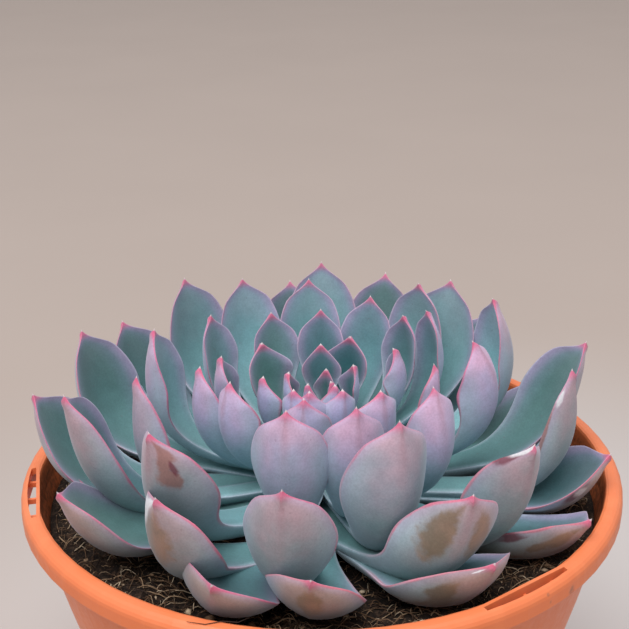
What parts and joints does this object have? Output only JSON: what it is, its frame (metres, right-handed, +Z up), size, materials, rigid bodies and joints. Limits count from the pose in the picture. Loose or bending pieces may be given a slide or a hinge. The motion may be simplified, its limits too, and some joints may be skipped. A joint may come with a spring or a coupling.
{
  "type": "potted echeveria",
  "caption": "Rosette of thick spoon-shaped succulent leaves on a short stem, standing in soil in a round tapered plastic pot with a slotted rim.",
  "frame": {"origin": "middle of the underside of the pot, on the pot's axis", "axes": "+Z up along the pot's axis, -Y towards the viewer of the picture, +X to the viewer's right"},
  "size_m": [0.14, 0.14, 0.1285],
  "materials": {
    "pot plastic": "terracotta-orange moulded plastic, satin",
    "soil mix": null,
    "leaf flesh": null
  },
  "bodies": {
    "root": {"pot": "pot plastic", "soil": "soil mix", "rosette": "leaf flesh"}
  },
  "joints": []
}
